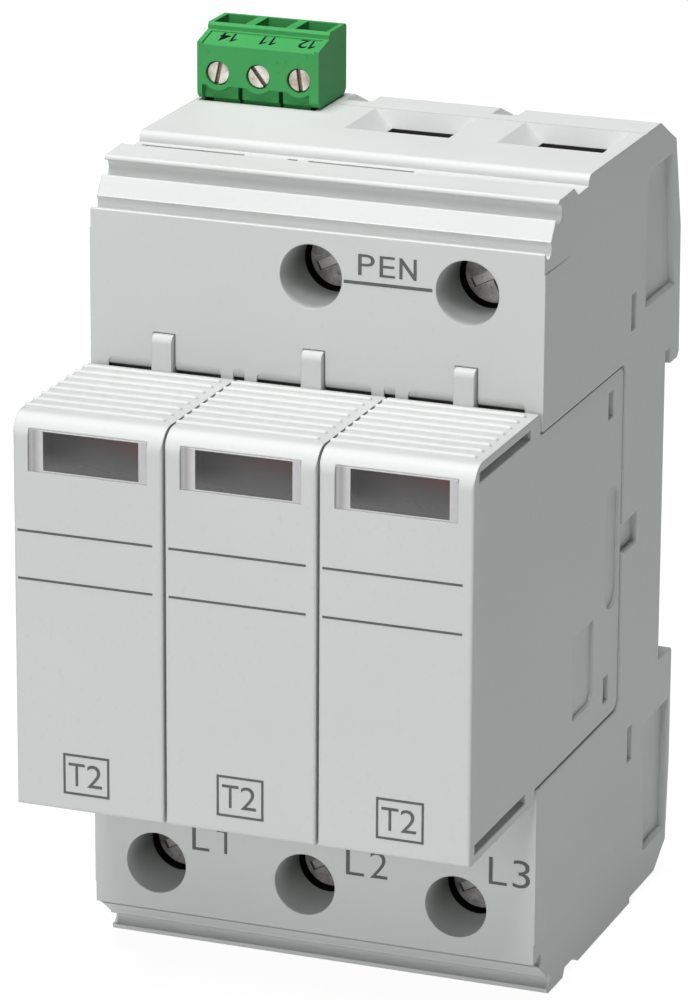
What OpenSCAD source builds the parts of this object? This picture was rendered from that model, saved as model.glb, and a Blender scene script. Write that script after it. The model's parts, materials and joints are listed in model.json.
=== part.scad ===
// Three-pole surge arrester with plug-in modules, for a 35 mm rail
// X runs along the rail, Y points from the front towards the rail, Z is up
// The origin is the middle of the rail, on the plane of its front face

/* [Poles] */
// Pitch of the poles along the rail
pole_pitch = 17.8; // [17.6:0.1:18.4]
// Gap between neighbouring plugs
plug_gap = 0.3; // [0.2:0.05:0.5]

/* [Base] */
// Rail plane to the shoulder faces
shoulder_d = 43.6; // [43:0.1:45]
// Rail plane to the floor behind the plugs
floor_d = 14.8; // [14.6:0.1:15.4]
// Rail plane to the seam of the two housings
seam_d = 9; // [8.8:0.1:9.3]
// Rail centre to the top face
top_z = 46; // [45.6:0.1:47.5]
// Rail centre to the underside
under_z = 47.2; // [46.8:0.1:48.6]
// Rail centre to the upper edge of the plug bay
bay_top = 20.7; // [20.4:0.1:21]
// Rail centre to the lower edge of the plug bay
bay_bottom = 20.9; // [20.6:0.1:21.2]
// Thickness of the walls over the wire chambers
roof = 2.5; // [2.3:0.1:3]
// Depth of the recesses in the side walls
side_recess = 0.8; // [0.4:0.1:1]

/* [Rail fixing] */
// Depth of the legs behind the rail plane
leg_d = 5.2; // [5:0.1:6.5]
// Width of the slot behind the fixed hook
hook_gap = 1.9; // [1.5:0.1:2.2]
// Rail centre to the end of the hook slot
hook_z = 18; // [17.8:0.1:18.6]
// Rail centre to the lip of the fixed hook
hook_lip_z = 16.1; // [15.8:0.1:16.6]
// Rail centre to the top of the lower leg
leg_top_z = 19.8; // [19.4:0.1:20.4]
// Width of the rail foot
foot_w = 16; // [12:0.5:20]
// Width of the guide flange on each side of the foot
foot_flange = 1.8; // [1.2:0.1:2.4]
// Rail centre to the ledge of the foot
foot_ledge_z = 17.6; // [17.5:0.1:18]
// Height of the lip of the foot over its ledge
foot_lip = 1.7; // [1.2:0.1:2]

/* [Plugs] */
// Rail plane to the front of the plugs
plug_d = 65.4; // [62:0.1:68]
// Height of the plug heads
head_h = 45; // [44.6:0.1:45.6]
// Rail centre to the top of the plug heads
head_top = 22.9; // [22.6:0.1:23.2]
// Clearance round a plug in its bay
plug_fit = 0.3; // [0.2:0.05:0.4]
// Wall of the plug housing
plug_wall = 1.5; // [1.2:0.1:1.8]
// Radius of the upper front edge of a plug
brow_r = 2.6; // [1.5:0.1:3]
// Number of grip ribs on a plug
rib_count = 8; // [4:1:8]
// Pitch of the grip ribs
rib_pitch = 2.25; // [1.8:0.05:2.3]
// Width of the status window
window_w = 13.9; // [10:0.1:14]
// Height of the status window
window_h = 4.8; // [3.5:0.1:4.8]
// Width of the latch tab
tab_w = 2.4; // [1.8:0.1:3]
// Height of the latch tab over the plug head
tab_h = 4.1; // [3:0.1:4.5]
// Thickness of the varistor block
varistor_t = 9; // [6:0.5:11]
// Thickness of the contact blades
blade_t = 1; // [0.8:0.1:1.2]

/* [Terminals] */
// How much further apart the terminals stand than the poles
terminal_spread = 0.4; // [0:0.1:0.5]
// Place of the first PEN terminal along the rail
pen_x = -0.4; // [-0.8:0.1:0]
// Place of the middle line terminal along the rail
line_x = -0.9; // [-1:0.1:0]
// Rail centre to the PEN screws
pen_z = 35.4; // [35:0.1:36]
// Rail centre to the line screws
line_z = 36.1; // [35.6:0.1:36.8]
// Radius of the screw wells
well_r = 3.65; // [3.4:0.05:3.9]
// Depth of the screw wells
well_depth = 7.6; // [6:0.1:8]
// Shoulder face to the screw heads
head_depth = 8.6; // [8.3:0.1:9.2]
// Radius of the screw heads
screw_head_r = 3.3; // [2.9:0.05:3.35]
// Height of the screw heads
screw_head_h = 2.9; // [2.4:0.1:3.2]
// Radius of the screw shanks
screw_r = 2.5; // [2:0.1:2.6]
// Width of the clamp cages
cage_w = 10.4; // [9.6:0.1:10.8]
// Height of the clamp cages
cage_h = 9; // [7:0.1:9.4]
// Side wall of the clamp cages
cage_wall = 1.3; // [1:0.1:1.4]
// Travel of the clamp cages
cage_travel = 4; // [3:0.1:4.2]

/* [Wire entries] */
// Width of the mouth of a wire funnel
funnel_w = 12.6; // [11:0.1:13]
// Length of the mouth of a wire funnel
funnel_l = 10.2; // [9:0.1:10.6]
// Width of the wire hole
wire_w = 7.8; // [6.5:0.1:8]
// Length of the wire hole
wire_l = 8.4; // [7:0.1:8.6]
// Depth of the funnel
funnel_depth = 2; // [1.5:0.1:2.3]

/* [Conductors] */
// Rail plane to the front of the conductor bars
bar_d = 21.5; // [21.2:0.1:22]
// Thickness of the conductor bars
bar_t = 1.5; // [1.2:0.1:1.7]
// Rail plane to the back of the conductor legs
bar_leg_d = 3.2; // [3:0.1:3.6]
// Rail centre to the middle of the blades
blade_z = 14; // [13.6:0.1:14.4]
// Height of the blades
blade_h = 6; // [5:0.1:6.6]

/* [Signal connector] */
// Left side to the middle of the connector
signal_inset = 7.9; // [7.7:0.1:8.5]
// Pitch of the connector's terminals
signal_pitch = 5; // [4.9:0.01:5.08]
// Width of the connector
signal_w = 15; // [14.8:0.1:15.4]
// Rail plane to the front of the connector
signal_d = 13.2; // [13:0.1:13.6]
// Height of the connector over the top face
signal_h = 8.5; // [8.3:0.1:9]
// Radius of the connector's screw heads
signal_head_r = 1.3; // [1.1:0.05:1.4]
// Travel of the connector's clamp cages
signal_travel = 1.25; // [0.8:0.05:1.3]

/* [Fits] */
// Radial clearance of a turning shank in its bore
running = 0.08; // [0.03:0.01:0.1]
// Gap between a moving piece and its guide
glide = 0.3; // [0.25:0.01:0.35]
// Gap between a seated piece and its seat
seat = 0.1; // [0.05:0.01:0.15]

/* [Hidden] */
$fn = 64;

// Places along the rail
sides = [-1, 1];
steps = [-1, 0, 1];
half_w = 1.5 * pole_pitch;
terminal_pitch = pole_pitch + terminal_spread;
signal_x = -half_w + signal_inset;
pole_xs = [for (s = steps) s * pole_pitch];
pen_xs = [for (i = [0, 1]) pen_x + i * terminal_pitch];
line_xs = [for (s = steps) line_x + s * terminal_pitch];
signal_xs = [for (s = steps) signal_x + s * signal_pitch];
past = 1;

// Depths of the base, front to back
shoulder = -shoulder_d;
floor_y = -floor_d;
seam = -seam_d;
seam_groove = 0.12;
under_step = 0.7;
rear_under = under_z - under_step;

// Ridges at the upper front edge, from the top face down: distance behind the shoulder, drop from the top
ridge_outline = [[14.3, 0], [14.3, -1.2], [10.7, -1.3], [9.2, -0.25], [5.4, -0.4], [4.2, -0.4], [4.2, -1.2],
    [3.3, -2.45], [1.95, -4.4], [0, -5.5]];
// Rounded edges of the upper ridges, and the hollows under them, each with its radius
ridge_rounds = [[14.3, 0, 1], [4.2, -0.4, 0.4]];
ridge_hollows = [[4.3, -1.95, 1.05], [1.2, -5.25, 0.95]];
// Ridges at the lower front edge, from the shoulder down: distance behind it, rise from the underside
keel_outline = [[0, 5.35], [1.3, 5.6], [1.3, 4.75], [4.2, 2.55], [4.75, 0.62], [4.85, 0.2], [5.2, 0],
    [10.2, 0], [10.8, 1], [14.2, 1], [15.6, 0]];
keel_hollows = [[1.95, 5.2, 0.75], [5, 1.65, 0.95]];
bay_fillet = 1.2;

// Slits in the groove of the upper ridges, as spans from the left side
slit_spans = [[0.8, 13.2], [18.5, 19.6], [20.9, 33.4]];
slit_back = 13.1;
slit_y = shoulder + slit_back;
slit_w = 0.45;
slit_depth = 0.9;
slit_floor = top_z + ridge_outline[2][1] - slit_depth;

// Ends of the ridges, tapering in a little from the side walls
ridge_end_depth = 0.1;
ridge_end_l = 9.1;
ridge_end_h = 7.65;
keel_end_l = 9.3;
keel_end_h = 7.8;

// Catches on the sides: snap windows of the two housings and the notch by the plugs
catch_w = 1.7;
catch_h = 4.3;
upper_catch_y = seam - 4.1;
lower_catch_y = seam - 2.2;
lower_catch_z = -bay_bottom - 8;
notch_y = [floor_y - past, floor_y + 0.8, floor_y + 5.5];
notch_z = [-2.2, -1.4, 1.5];

// Shallow pockets in the sides of the rear housing
pocket_y = [seam + 1.1, leg_d - 2.2];
pocket_z = [hook_z + 7.4, top_z - 4.6];
pocket_lean = [1.2, 2.1];
pocket_cut = 1.2;
low_pocket_y = [seam + 4.3, leg_d - 1];
low_pocket_z = [-rear_under + 4.3, -leg_top_z - 6.2];
low_pocket_lean = 0.4;

// Slopes and edges of the legs
crest_l = 5.4;
crest_back = 2.8;
crest_drop = 3.2;
leg_lean = 0.4;
leg_flank = 14;
hook_edge = 0.6;
heel_h = 2.6;
heel_back = 0.2;

// Notches in the rear top edge, one at each line between poles
edge_notch_low = 0.8;
edge_notch_high = 2.1;
edge_notch_depth = 1.3;
edge_notch_y = seam + 2.4;

// Hollows in the back of the legs
core_pitch = 10;
core_half = 3.6;
core_rim = 1.2;
core_z = [hook_z + 3, top_z - 8];
low_core_half = 2.4;
low_core_pitch = 7;
low_core_x = foot_w / 2 + foot_flange + glide + core_rim + low_core_half;
low_core_z = [-rear_under + 6, -leg_top_z - 4];

// Notches in the lower edge of the upper block
post_w = 1.5;
post_inset = 0.65;
lip_w = pole_pitch - 2 * (post_w + post_inset);
lip_z = bay_top + 3.2;
lip_depth = 2;
lip_r = 0.9;
tab_z = head_top + tab_h;

// Terminal stack along its screw, front to back
well_end = shoulder + well_depth;
undercut_r = well_r + 0.65;
head_front = shoulder + head_depth;
head_back = head_front + screw_head_h;
shelf_front = head_back + seat;
shelf_t = 1.6;
shelf_back = shelf_front + shelf_t;
cage_stop = 0.5;
cage_front = shelf_back + cage_stop + cage_travel;
cage_front_t = 2;
cage_back = seam - cage_stop;
bar_front = -bar_d;
bar_back = bar_front + bar_t;
screw_tip = bar_front - seat;
chamber_w = cage_w + 2 * glide;
tongue_w = cage_w - 2 * cage_wall - 2 * glide;
tongue_over = 5.5;
cross_w = 1.1;
cross_thin = 0.8;
cross_l = 5.6;
cross_depth = 0.7;
cross_turn = -27;

// Wire entries
entry_shift = 0.8;
entry_y = -14.1;

// Conductors in the upper and lower block
bus_rise = 3.3;
bus_z = bay_top + bus_rise;
line_bus_z = bay_bottom + bus_rise;
leg_back = -bar_leg_d;
leg_front = leg_back - bar_t;
leg_w = 6;
leg_end = blade_z - blade_h / 2 - 1;
bus_strip_back = -13;
channel_w = 11.2;
channel_end = leg_end - 1;
clip_t = 0.7;
clip_gap = blade_t / 2 + 0.05;
clip_half = clip_gap + clip_t;
clip_front = -12;
clip_h = blade_h + 0.8;
slot_half = clip_half + 0.45;

// Plugs
plug_w = pole_pitch - plug_gap;
plug_half = plug_w / 2;
plug_front = -plug_d;
head_bottom = head_top - head_h;
head_back_y = shoulder - 0.4;
plug_rear = floor_y - plug_fit;
plug_top = bay_top - plug_fit;
plug_bottom = -bay_bottom + plug_fit;
inner_half = plug_half - plug_wall;
inner_front = plug_front + plug_wall;
inner_back = head_back_y - plug_wall;
edge_r = 0.35;
heel_r = 0.5;
rib_r = 0.42;
rib_end = 1.4;
rib_sink = 0.1;
first_rib = head_back_y - 2;
grip_l = 16.6;
grip_h = 1.15;
grip_depth = 1.2;
grip_inset = 1.5;
grip_front = 1.6;
tab_reach = 1.2;
pill_w = 4.4;
pill_z = [-7.6, 7.2];
pill_r = 2.1;
pill_inset = 0.8;
pill_back = plug_rear - pill_inset;
flat_w = 7;
flat_h = 9.9;
flat_inset = 9.1;
flat_back = plug_rear - flat_inset;
flat_z = plug_bottom + 3.7;
flat_cut = 1;
window_z = head_top - plug_wall - window_h / 2;
window_drop = 0.8;
window_t = 0.8;
flag_t = 1;
flag_front = inner_front + window_t + glide;
flag_travel = 6;
flag_stem_h = 8;
plate_t = 3;
plate_front = plug_rear - plate_t;
snap_l = 2.6;
snap_h = 3;
snap_z = 17;
snap_play = 0.4;
snap_reach = 0.9;
flag_stem_w = 3;
varistor_r = 2;
blade_r = 0.8;
blade_tip = leg_front - clip_t - 0.8;
varistor_gap = 8.9;
varistor_rear = plug_rear - varistor_gap;
varistor_size = 32;
keeper_w = 2;

// Slide bar of the remote signal
slider_t = 2;
slider_front = seam + 0.4;
slider_travel = 2.5;
slider_pin_r = 1;
slider_half = 1.8;
slider_left = -half_w + 1.7;
slider_arm_w = 1.8;
slider_top = bus_z + 5.5;
paddle_h = 2.5;
paddle_l = 8;
slider_end = pole_pitch + 1.5;

// Green connector and its header
signal_front = -signal_d;
signal_l = 8.8;
signal_rear = signal_front + signal_l;
signal_gap = 0.25;
signal_z0 = top_z + signal_gap;
signal_top = top_z + signal_h;
signal_screw_rise = 3.35;
signal_screw_z = top_z + signal_screw_rise;
signal_label_drop = 1.6;
signal_label_z = signal_top - signal_label_drop;
signal_label_l = 3.3;
signal_lip_y = signal_front + signal_label_l;
signal_lip_h = 0.8;
signal_edge = 0.3;
signal_foot = 0.6;
signal_sink = 0.25;
signal_cheek = 0.6;
signal_band_h = 1.65;
signal_band_z = signal_z0 + signal_band_h;
signal_band_depth = 0.9;
signal_hoop_r = 2;
signal_gap_w = 0.5;
signal_gap_depth = 2.2;
signal_turns = [12, -38, -8];
signal_slot_w = 0.5;
signal_slot_depth = 0.45;
signal_neck_half = 6;
signal_neck_inset = [1.4, 1.2];
signal_neck = [signal_front + signal_neck_inset[0], signal_rear - signal_neck_inset[1]];
signal_neck_drop = 7.5;
signal_neck_z = top_z - signal_neck_drop;
signal_shank_r = 1;
signal_head_h = 0.8;
signal_head_front = signal_front + 0.35;
signal_shelf = signal_head_front + signal_head_h + seat;
signal_shelf_t = 0.6;
signal_room_front = signal_shelf + signal_shelf_t;
signal_room_wall = 0.7;
signal_room_back = signal_rear - signal_room_wall;
signal_room_half = 1.95;
signal_cage_half = signal_room_half - 2 * seat;
signal_cage_h = 3.6;
signal_cage_z = [signal_screw_z - signal_cage_h / 2, signal_screw_z + signal_cage_h / 2];
signal_stop = 0.4;
signal_cage_front = signal_room_front + signal_stop + signal_travel;
signal_cage_back = signal_room_back - signal_stop;
signal_cage_wall = 0.35;
signal_cage_front_t = 0.8;
signal_cage_back_t = 0.6;
signal_strip_inset = 1.4;
signal_strip_front = signal_cage_front + signal_strip_inset;
signal_strip_t = 0.6;
signal_strip_half = 1.1;
signal_strip_foot = 0.5;
signal_strip_rise = 1.5;
signal_strip_z = [signal_neck_z + signal_strip_foot, signal_screw_z + signal_strip_rise];
signal_entry_inset = 0.5;
signal_entry = [signal_lip_y + signal_entry_inset, signal_room_back];
signal_entry_half = 1.9;
signal_pin = 1;
signal_pin_y = signal_strip_front + signal_strip_t + seat;
header_wall = [1.1, 0.9];
header_half = signal_neck_half + header_wall[1];
header_gap = 0.15;
header_y = [signal_neck[0] - header_wall[0], signal_neck[1] + header_wall[1]];
header_drop = 4.3;
header_z0 = signal_neck_z - header_drop;
header_floor = 1.8;
header_rim = 0.4;
pin_play = 0.05;
pin_drop = 3;
pin_top = top_z - pin_drop;
switch_half = 6;
switch_l = 8.7;
switch_back = seam - slider_travel - seat;
switch_x = [signal_x - switch_half, signal_x + switch_half];
switch_y = [switch_back - switch_l, switch_back];
switch_gap = [0.5, 1.2];
switch_z = [bus_z + bar_t + switch_gap[0], header_z0 - switch_gap[1]];
lug_half = 0.8;
lug_t = 1;

// Rail foot
foot_front = 0.4;
foot_back = leg_d - glide;
foot_flange_t = 1.6;
foot_end = rear_under - 0.3;
foot_flange_z = [leg_top_z + 2.2, foot_end - 2.5];
foot_lip_y = [1.4, 3.4];
foot_lip_cut = 0.8;
foot_rim = 2;
foot_web = 1.6;
foot_hollow_z = [-foot_end + 7, -leg_top_z - 3];
pry_w = 6;
pry_h = 2.5;

// A block between low and high limits on each axis
module block(x, y, z) {
    translate([x[0], y[0], z[0]])
        cube([x[1] - x[0], y[1] - y[0], z[1] - z[0]]);
}

// A Y-Z outline drawn out along X
module across(x) {
    translate([x[0], 0, 0])
        rotate([90, 0, 90])
            linear_extrude(x[1] - x[0])
                children();
}

// An X-Z outline drawn out along Y
module through(y) {
    translate([0, y[1], 0])
        rotate([90, 0, 0])
            linear_extrude(y[1] - y[0])
                children();
}

// A round bar along Y
module round_bar(x, z, r, y) {
    through(y)
        translate([x, z])
            circle(r);
}

// What a rounded corner takes off a square one
module corner(at, way, r) {
    if (r > 0) {
        translate(at)
            scale([way[0], way[1]])
                difference() {
                    translate([-past, -past])
                        square(r + past);
                    translate([r, r])
                        circle(r);
                }
    }
}

// A rectangle with its own radius at each corner, anticlockwise from the lower left
module plate(x, y, r) {
    difference() {
        translate([x[0], y[0]])
            square([x[1] - x[0], y[1] - y[0]]);
        corner([x[0], y[0]], [1, 1], r[0]);
        corner([x[1], y[0]], [-1, 1], r[1]);
        corner([x[1], y[1]], [-1, -1], r[2]);
        corner([x[0], y[1]], [1, -1], r[3]);
    }
}

// Section of a funnel from its mouth at the wall face to its narrow end
module funnel_outline(mouth, end, way) {
    polygon([[-end, -way * funnel_depth], [end, -way * funnel_depth], [mouth, 0], [mouth, way * past],
        [-mouth, way * past], [-mouth, 0]]);
}

// Wire funnel and hole through the top or bottom wall, for one terminal
module wire_entry(x, face, way) {
    middle = x + entry_shift;
    deep = face - way * (roof + past);
    intersection() {
        through([entry_y - funnel_l, entry_y + funnel_l])
            translate([middle, face])
                funnel_outline(funnel_w / 2, wire_w / 2, way);
        across([middle - funnel_w, middle + funnel_w])
            translate([entry_y, face])
                funnel_outline(funnel_l / 2, wire_l / 2, way);
    }
    block([middle - wire_w / 2, middle + wire_w / 2], [entry_y - wire_l / 2, entry_y + wire_l / 2],
        [min(deep, face), max(deep, face)]);
}

module wire_entries() {
    for (x = pen_xs)
        wire_entry(x, top_z, 1);
    for (x = line_xs)
        wire_entry(x, -under_z, -1);
}

// Screw well, screw seat and cage chamber of one terminal
module terminal_room(x, z, chamber_z) {
    round_bar(x, z, well_r, [shoulder - past, well_end + seat]);
    round_bar(x, z, undercut_r, [well_end, shelf_front]);
    round_bar(x, z, screw_r + running, [shelf_front - seat, shelf_back + seat]);
    block([x - chamber_w / 2, x + chamber_w / 2], [shelf_back, seam + past], chamber_z);
}

// Room for the slide bar, its arm and its travel
module slider_room() {
    y = [slider_front - slider_travel - glide, slider_front + slider_t + glide];
    block([slider_left - glide, slider_end + glide], y, [-slider_half - glide, slider_half + glide]);
    block([slider_left - glide, slider_left + slider_arm_w + glide], y, [-slider_half, slider_top + glide]);
    block([slider_left - glide, slider_left + paddle_l + glide], y,
        [slider_top - paddle_h - glide, slider_top + glide]);
}

// Pocket of the connector's header, open at the top
module header_room() {
    block([signal_x - header_half - seat, signal_x + header_half + seat],
        [header_y[0] - seat, header_y[1] + seat], [header_z0, top_z + past]);
}

// Room for the lugs of the switch and the feet of the pins
module lug_room() {
    block([signal_xs[0] - lug_half - glide, signal_xs[2] + lug_half + glide],
        [switch_back, signal_pin_y + signal_pin + glide], [switch_z[1] - lug_t - glide, header_z0 + past]);
}

// Recesses that the side walls carry on the left and on the right
module side_marks(outline, side) {
    x = side * half_w;
    across([min(x - side * side_recess, x + side), max(x - side * side_recess, x + side)])
        polygon(outline);
}

module front_profile() {
    difference() {
        polygon(concat([[seam, top_z]],
            [for (p = ridge_outline) [shoulder + p[0], top_z + p[1]]],
            [[shoulder, bay_top], [floor_y, bay_top], [floor_y, -bay_bottom], [shoulder, -bay_bottom]],
            [for (p = keel_outline) [shoulder + p[0], -under_z + p[1]]],
            [[seam, -under_z]]));
        for (p = ridge_rounds)
            corner([shoulder + p[0], top_z + p[1]], [1, -1], p[2]);
        for (p = ridge_hollows)
            translate([shoulder + p[0], top_z + p[1]])
                circle(p[2]);
        for (p = keel_hollows)
            translate([shoulder + p[0], -under_z + p[1]])
                circle(p[2]);
    }
    translate([floor_y, bay_top])
        scale([-1, -1])
            bay_corner();
    translate([floor_y, -bay_bottom])
        scale([-1, 1])
            bay_corner();
}

// Edge over a plug, rounded back under the upper block
module lip_cut(x) {
    across(x)
        difference() {
            translate([shoulder - past, bay_top - past])
                square([lip_depth + past, lip_z - bay_top + past]);
            translate([shoulder + lip_depth, lip_z])
                circle(lip_depth);
        }
}

module bay_corner() {
    difference() {
        square(bay_fillet);
        translate([bay_fillet, bay_fillet])
            circle(bay_fillet);
    }
}

module front_housing() {
    upper_room = [bus_z - glide, top_z - roof];
    lower_room = [-under_z + roof, -line_bus_z + glide];
    color("gainsboro")
        difference() {
            across([-half_w, half_w])
                front_profile();
            for (x = pole_xs) {
                intersection() {
                    lip_cut([x - lip_w / 2, x + lip_w / 2]);
                    through([shoulder - 2 * past, shoulder + 2 * lip_depth])
                        plate([x - lip_w / 2, x + lip_w / 2], [bay_top - 2 * past, lip_z],
                            [0, 0, lip_r, lip_r]);
                }
                block([x - tab_w / 2 - seat, x + tab_w / 2 + seat], [shoulder - past, shoulder + lip_depth],
                    [bay_top - past, tab_z + seat]);
                for (way = sides) {
                    z = way * blade_z;
                    block([x - slot_half, x + slot_half], [floor_y - past, seam + past],
                        [z - blade_h / 2 - past, z + blade_h / 2 + past]);
                }
                round_bar(x, 0, slider_pin_r + running, [floor_y - past, seam + past]);
            }
            for (s = sides)
                lip_cut([s * pole_pitch / 2 - post_inset, s * pole_pitch / 2 + post_inset]);
            for (x = pen_xs)
                terminal_room(x, pen_z, upper_room);
            for (x = line_xs)
                terminal_room(x, -line_z, lower_room);
            block([-pole_pitch - leg_w / 2 - glide, pen_xs[1] + tongue_w / 2 + glide],
                [bar_front - glide, seam + past], [bus_z - glide, bus_z + bar_t + glide]);
            wire_entries();
            slider_room();
            header_room();
            lug_room();
            block([switch_x[0] - glide, switch_x[1] + glide], [switch_y[0] - glide, seam + past],
                [switch_z[0] - glide, header_z0 + past]);
            for (span = slit_spans)
                block([span[0] - half_w, span[1] - half_w], [slit_y - slit_w / 2, slit_y + slit_w / 2],
                    [slit_floor, top_z + past]);
            for (side = sides) {
                ridge_end(side, ridge_end_l, [top_z - ridge_end_h, top_z + past]);
                ridge_end(side, keel_end_l, [-under_z - past, -under_z + keel_end_h]);
                catch_window([upper_catch_y, lip_z], side);
                catch_window([lower_catch_y, lower_catch_z], side);
                side_marks([[notch_y[0], notch_z[1]], [notch_y[1], notch_z[0]], [notch_y[2], notch_z[0]],
                    [notch_y[2], notch_z[2]], [notch_y[0], notch_z[2]]], side);
            }
        }
}

// Wedge taken off the side wall at the ends of the ridges
module ridge_end(side, l, z) {
    x = side * half_w;
    translate([0, 0, z[0]])
        linear_extrude(z[1] - z[0])
            polygon([[x, shoulder + l], [x - side * ridge_end_depth, shoulder],
                [x - side * ridge_end_depth, shoulder - past], [x + side, shoulder - past],
                [x + side, shoulder + l]]);
}

// Window of a snap catch, from its lower front corner
module catch_window(at, side) {
    far = [at[0] + catch_w, at[1] + catch_h];
    side_marks([at, [far[0], at[1]], far, [at[0], far[1]]], side);
}

// Outline of the rear housing: upper leg with its hook, rail seat, lower leg
module rear_profile() {
    polygon([[seam, top_z], [seam + crest_l, top_z], [leg_d - crest_back, top_z - crest_drop],
        [leg_d - leg_lean, hook_z + leg_flank], [leg_d, hook_z], [leg_d, hook_lip_z + hook_edge],
        [leg_d - hook_edge, hook_lip_z], [hook_gap, hook_lip_z], [hook_gap, hook_z], [0, hook_z],
        [0, -leg_top_z], [leg_d - leg_lean, -leg_top_z], [leg_d, -leg_top_z - leg_lean],
        [leg_d, -leg_top_z - leg_flank], [leg_d - 2 * leg_lean, -rear_under + heel_h],
        [heel_back, -rear_under], [seam, -rear_under]]);
}

// Guide of the rail foot in the lower leg
module foot_guide() {
    half = foot_w / 2 + glide;
    block([-half, half], [foot_front - glide, leg_d + past], [-under_z - past, -leg_top_z + past]);
    block([-half - foot_flange, half + foot_flange], [foot_front - glide, foot_front + foot_flange_t + glide],
        [-under_z - past, -foot_flange_z[0] + glide]);
}

module rear_housing() {
    color("lightgray")
        difference() {
            across([-half_w, half_w])
                rear_profile();
            for (side = sides) {
                side_marks([[pocket_y[0], pocket_z[0]], [pocket_y[1], pocket_z[0]],
                    [pocket_y[1] - pocket_lean[1], pocket_z[1]], [pocket_y[0] + pocket_lean[0], pocket_z[1]],
                    [pocket_y[0], pocket_z[1] - pocket_cut]], side);
                side_marks([[low_pocket_y[0], low_pocket_z[1]], [low_pocket_y[1], low_pocket_z[1]],
                    [low_pocket_y[1] - low_pocket_lean, low_pocket_z[0]],
                    [low_pocket_y[0] + low_pocket_lean, low_pocket_z[0]]], side);
                edge_notch(side * pole_pitch / 2);
            }
            block([-half_w - past, half_w + past], [seam - past, seam + seam_groove],
                [top_z - seam_groove, top_z + past]);
            for (x = pole_xs)
                for (way = sides) {
                    far = way > 0 ? bus_z + bar_t + glide : line_bus_z + bar_t + glide;
                    block([x - channel_w / 2, x + channel_w / 2], [seam - past, leg_back + seat],
                        [way > 0 ? channel_end : -far, way > 0 ? far : -channel_end]);
                }
            for (x = [-2 * core_pitch:core_pitch:2 * core_pitch])
                block([x - core_half, x + core_half], [core_rim, leg_d + past], core_z);
            for (side = sides)
                for (i = [0, 1]) {
                    x = side * (low_core_x + i * low_core_pitch);
                    block([x - low_core_half, x + low_core_half], [core_rim, leg_d + past], low_core_z);
                }
            wire_entries();
            slider_room();
            header_room();
            lug_room();
            foot_guide();
        }
}

// Trapezoid notch in the rear top edge
module edge_notch(x) {
    through([edge_notch_y, leg_d + past])
        polygon([[x - edge_notch_low, top_z - edge_notch_depth],
            [x + edge_notch_low, top_z - edge_notch_depth],
            [x + edge_notch_high, top_z + past], [x - edge_notch_high, top_z + past]]);
}

module rail_foot() {
    half = foot_w / 2;
    lip_end = foot_lip - foot_ledge_z;
    color("silver")
        difference() {
            union() {
                across([-half, half])
                    polygon([[foot_front, -foot_end], [foot_back, -foot_end], [foot_back, -leg_top_z],
                        [foot_lip_y[1], -foot_ledge_z], [foot_lip_y[1], lip_end - foot_lip_cut],
                        [foot_lip_y[0], lip_end], [foot_lip_y[0], -foot_ledge_z],
                        [foot_front, -foot_ledge_z]]);
                block([-half - foot_flange, half + foot_flange], [foot_front, foot_front + foot_flange_t],
                    [-foot_flange_z[1], -foot_flange_z[0]]);
            }
            block([-pry_w / 2, pry_w / 2], [foot_front - past, foot_back + past],
                [-foot_end + foot_rim, -foot_end + foot_rim + pry_h]);
            block([-half + foot_rim, half - foot_rim], [foot_front + foot_web, foot_back + past],
                foot_hollow_z);
        }
}

// Outer form of a plug: side outline drawn across, with its front uprights rounded
module plug_form(x) {
    intersection() {
        across([x - plug_half, x + plug_half]) {
            plate([plug_front, head_back_y], [head_bottom, head_top], [edge_r, heel_r, heel_r, brow_r]);
            plate([head_back_y - past, plug_rear], [plug_bottom, plug_top], [0, bay_fillet, bay_fillet, 0]);
        }
        translate([0, 0, head_bottom - past])
            linear_extrude(head_h + 2 * past)
                plate([x - plug_half, x + plug_half], [plug_front, plug_rear], [edge_r, edge_r, 0, 0]);
    }
}

// Window in the front wall of a plug
module window_hole(x, gap) {
    through([plug_front - past, inner_front + past])
        translate([x, window_z])
            square([window_w + 2 * gap, window_h + 2 * gap], center = true);
}

module plug_housing(x) {
    color("whitesmoke")
        difference() {
            union() {
                plug_form(x);
                for (i = [0:rib_count - 1])
                    translate([x - plug_half, first_rib - i * rib_pitch, head_top - rib_sink]) {
                        rotate([0, 90, 0])
                            cylinder(r = rib_r, h = plug_w - rib_end);
                        translate([plug_w - rib_end, 0, 0])
                            sphere(rib_r);
                    }
                across([x - tab_w / 2, x + tab_w / 2])
                    plate([head_back_y - heel_r, shoulder + tab_reach], [plug_top - past, tab_z],
                        [0, 0, heel_r, lip_r]);
            }
            difference() {
                union() {
                    block([x - inner_half, x + inner_half], [inner_front, plug_rear + past],
                        [plug_bottom + plug_wall, plug_top - plug_wall]);
                    block([x - inner_half, x + inner_half], [inner_front, inner_back],
                        [head_bottom + plug_wall, head_top - plug_wall]);
                }
                for (side = sides)
                    keeper(x, side);
            }
            window_hole(x, 0);
            for (side = sides) {
                edge = x + side * plug_half;
                out = [min(edge, edge - side * grip_depth), max(edge, edge - side * grip_depth)];
                for (z = [head_top - grip_inset, head_bottom + grip_inset])
                    block([out[0] - (side < 0 ? past : 0), out[1] + (side > 0 ? past : 0)],
                        [plug_front + grip_front, plug_front + grip_front + grip_l],
                        [z - grip_h / 2, z + grip_h / 2]);
                for (way = sides)
                    block([edge - plug_wall - past, edge + plug_wall + past],
                        [plate_front - snap_l + snap_play, plate_front - snap_play],
                        [way * snap_z - snap_h / 2 - seat, way * snap_z + snap_h / 2 + seat]);
                plug_marks(x, side);
            }
        }
}

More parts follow.
